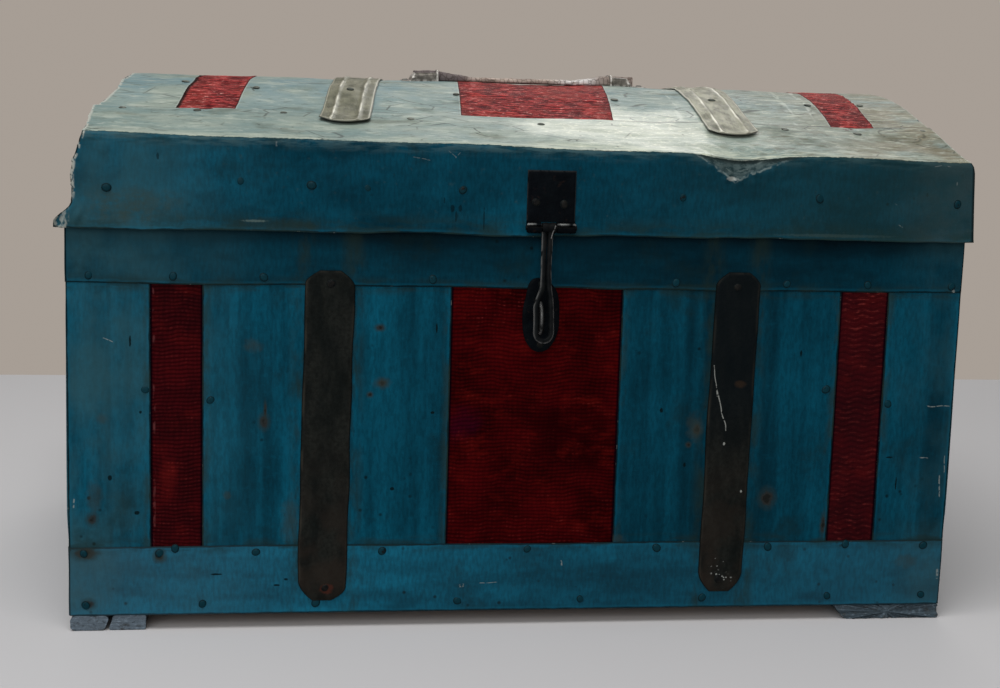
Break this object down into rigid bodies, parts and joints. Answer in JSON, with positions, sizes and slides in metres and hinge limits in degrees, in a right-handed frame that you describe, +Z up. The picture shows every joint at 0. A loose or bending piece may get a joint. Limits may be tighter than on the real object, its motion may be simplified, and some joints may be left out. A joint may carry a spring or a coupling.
{
  "type": "dowry chest",
  "caption": "Tin-clad wooden dowry chest with a hinged barrel lid, red embossed panels, straps, a wire hasp and a lid handle.",
  "frame": {"origin": "on the floor, under the middle of the chest's overall box", "axes": "+X along the front towards the right end, +Y towards the back, +Z up"},
  "size_m": [0.6115, 0.4236, 0.3743],
  "materials": {
    "bare_wood": "rough sawn, unfinished",
    "runner_wood": "rough, with old blue-grey paint",
    "body_tin": "worn teal paint on tin sheet",
    "lid_tin": "pale worn paint, semi-gloss, rubbed and wrinkled",
    "red_tin": "dark red paint over embossed ribs",
    "lid_red_tin": "sun-bleached red paint over embossed ribs",
    "dark_strap": "nearly black, scratched and rusting at the edges",
    "worn_strap": "paint worn off, grey tin with pressed ridges",
    "nail_iron": "dull, lightly rusted",
    "hasp_iron": "dark, polished by use on the edges",
    "cap_metal": "tarnished plated steel",
    "strap_leather": "dry leather, grey on top and cracked pale"
  },
  "bodies": {
    "chest_body": {"front_board": "bare_wood", "back_board": "bare_wood", "left_end_board": "bare_wood", "right_end_board": "bare_wood", "bottom_board": "bare_wood", "corner_batten_front_left": "bare_wood", "corner_batten_front_right": "bare_wood", "corner_batten_back_left": "bare_wood", "corner_batten_back_right": "bare_wood", "left_runner": "runner_wood", "right_runner": "runner_wood", "front_sheet_far_left": "body_tin", "front_sheet_left": "body_tin", "front_sheet_right": "body_tin", "front_sheet_far_right": "body_tin", "front_red_left": "red_tin", "front_red_centre": "red_tin", "front_red_right": "red_tin", "top_band": "body_tin", "bottom_band": "body_tin", "front_strap_left": "dark_strap", "front_strap_right": "dark_strap", "left_end_sheet": "body_tin", "right_end_sheet": "body_tin", "back_sheet": "body_tin", "staple_plate": "hasp_iron", "staple": "hasp_iron", "hinge_body_leaf_left": "nail_iron", "hinge_body_leaf_right": "nail_iron", "hinge_pins": "nail_iron", "body_nails": "nail_iron"},
    "lid": {"lid_front_board": "bare_wood", "lid_back_board": "bare_wood", "lid_left_board": "bare_wood", "lid_right_board": "bare_wood", "lid_slat_front": "bare_wood", "lid_slat_crown": "bare_wood", "lid_slat_back": "bare_wood", "lid_front_sheet": "lid_tin", "lid_back_sheet": "lid_tin", "lid_sheet_far_left": "lid_tin", "lid_sheet_left": "lid_tin", "lid_sheet_right": "lid_tin", "lid_sheet_far_right": "lid_tin", "lid_red_left": "lid_red_tin", "lid_red_centre": "lid_red_tin", "lid_red_right": "lid_red_tin", "lid_strap_left": "worn_strap", "lid_strap_right": "worn_strap", "lid_left_sheet": "lid_tin", "lid_right_sheet": "lid_tin", "hinge_lid_leaf_left": "nail_iron", "hinge_lid_leaf_right": "nail_iron", "hasp_plate": "hasp_iron", "hasp_pin": "hasp_iron", "handle_cap_left": "cap_metal", "handle_cap_right": "cap_metal", "lid_nails": "nail_iron"},
    "hasp_loop": {"hasp_loop": "hasp_iron"},
    "handle": {"handle_strap": "strap_leather"}
  },
  "joints": [
    {"name": "lid_hinge", "type": "hinge", "parent": "chest_body", "child": "lid", "pos_m": [0, 0.2088, 0.27275], "axis": [-1, 0, 0], "range_deg": [0, 180]},
    {"name": "hasp_swing", "type": "hinge", "parent": "lid", "child": "hasp_loop", "pos_m": [0.008, -0.1931, 0.2735], "axis": [-1, 0, 0], "range_deg": [-13, 160]},
    {"name": "handle_lift", "type": "slide", "parent": "lid", "child": "handle", "axis": [0, 0, 1], "range_m": [0, 0.018], "deforming": ["handle_strap"]}
  ]
}
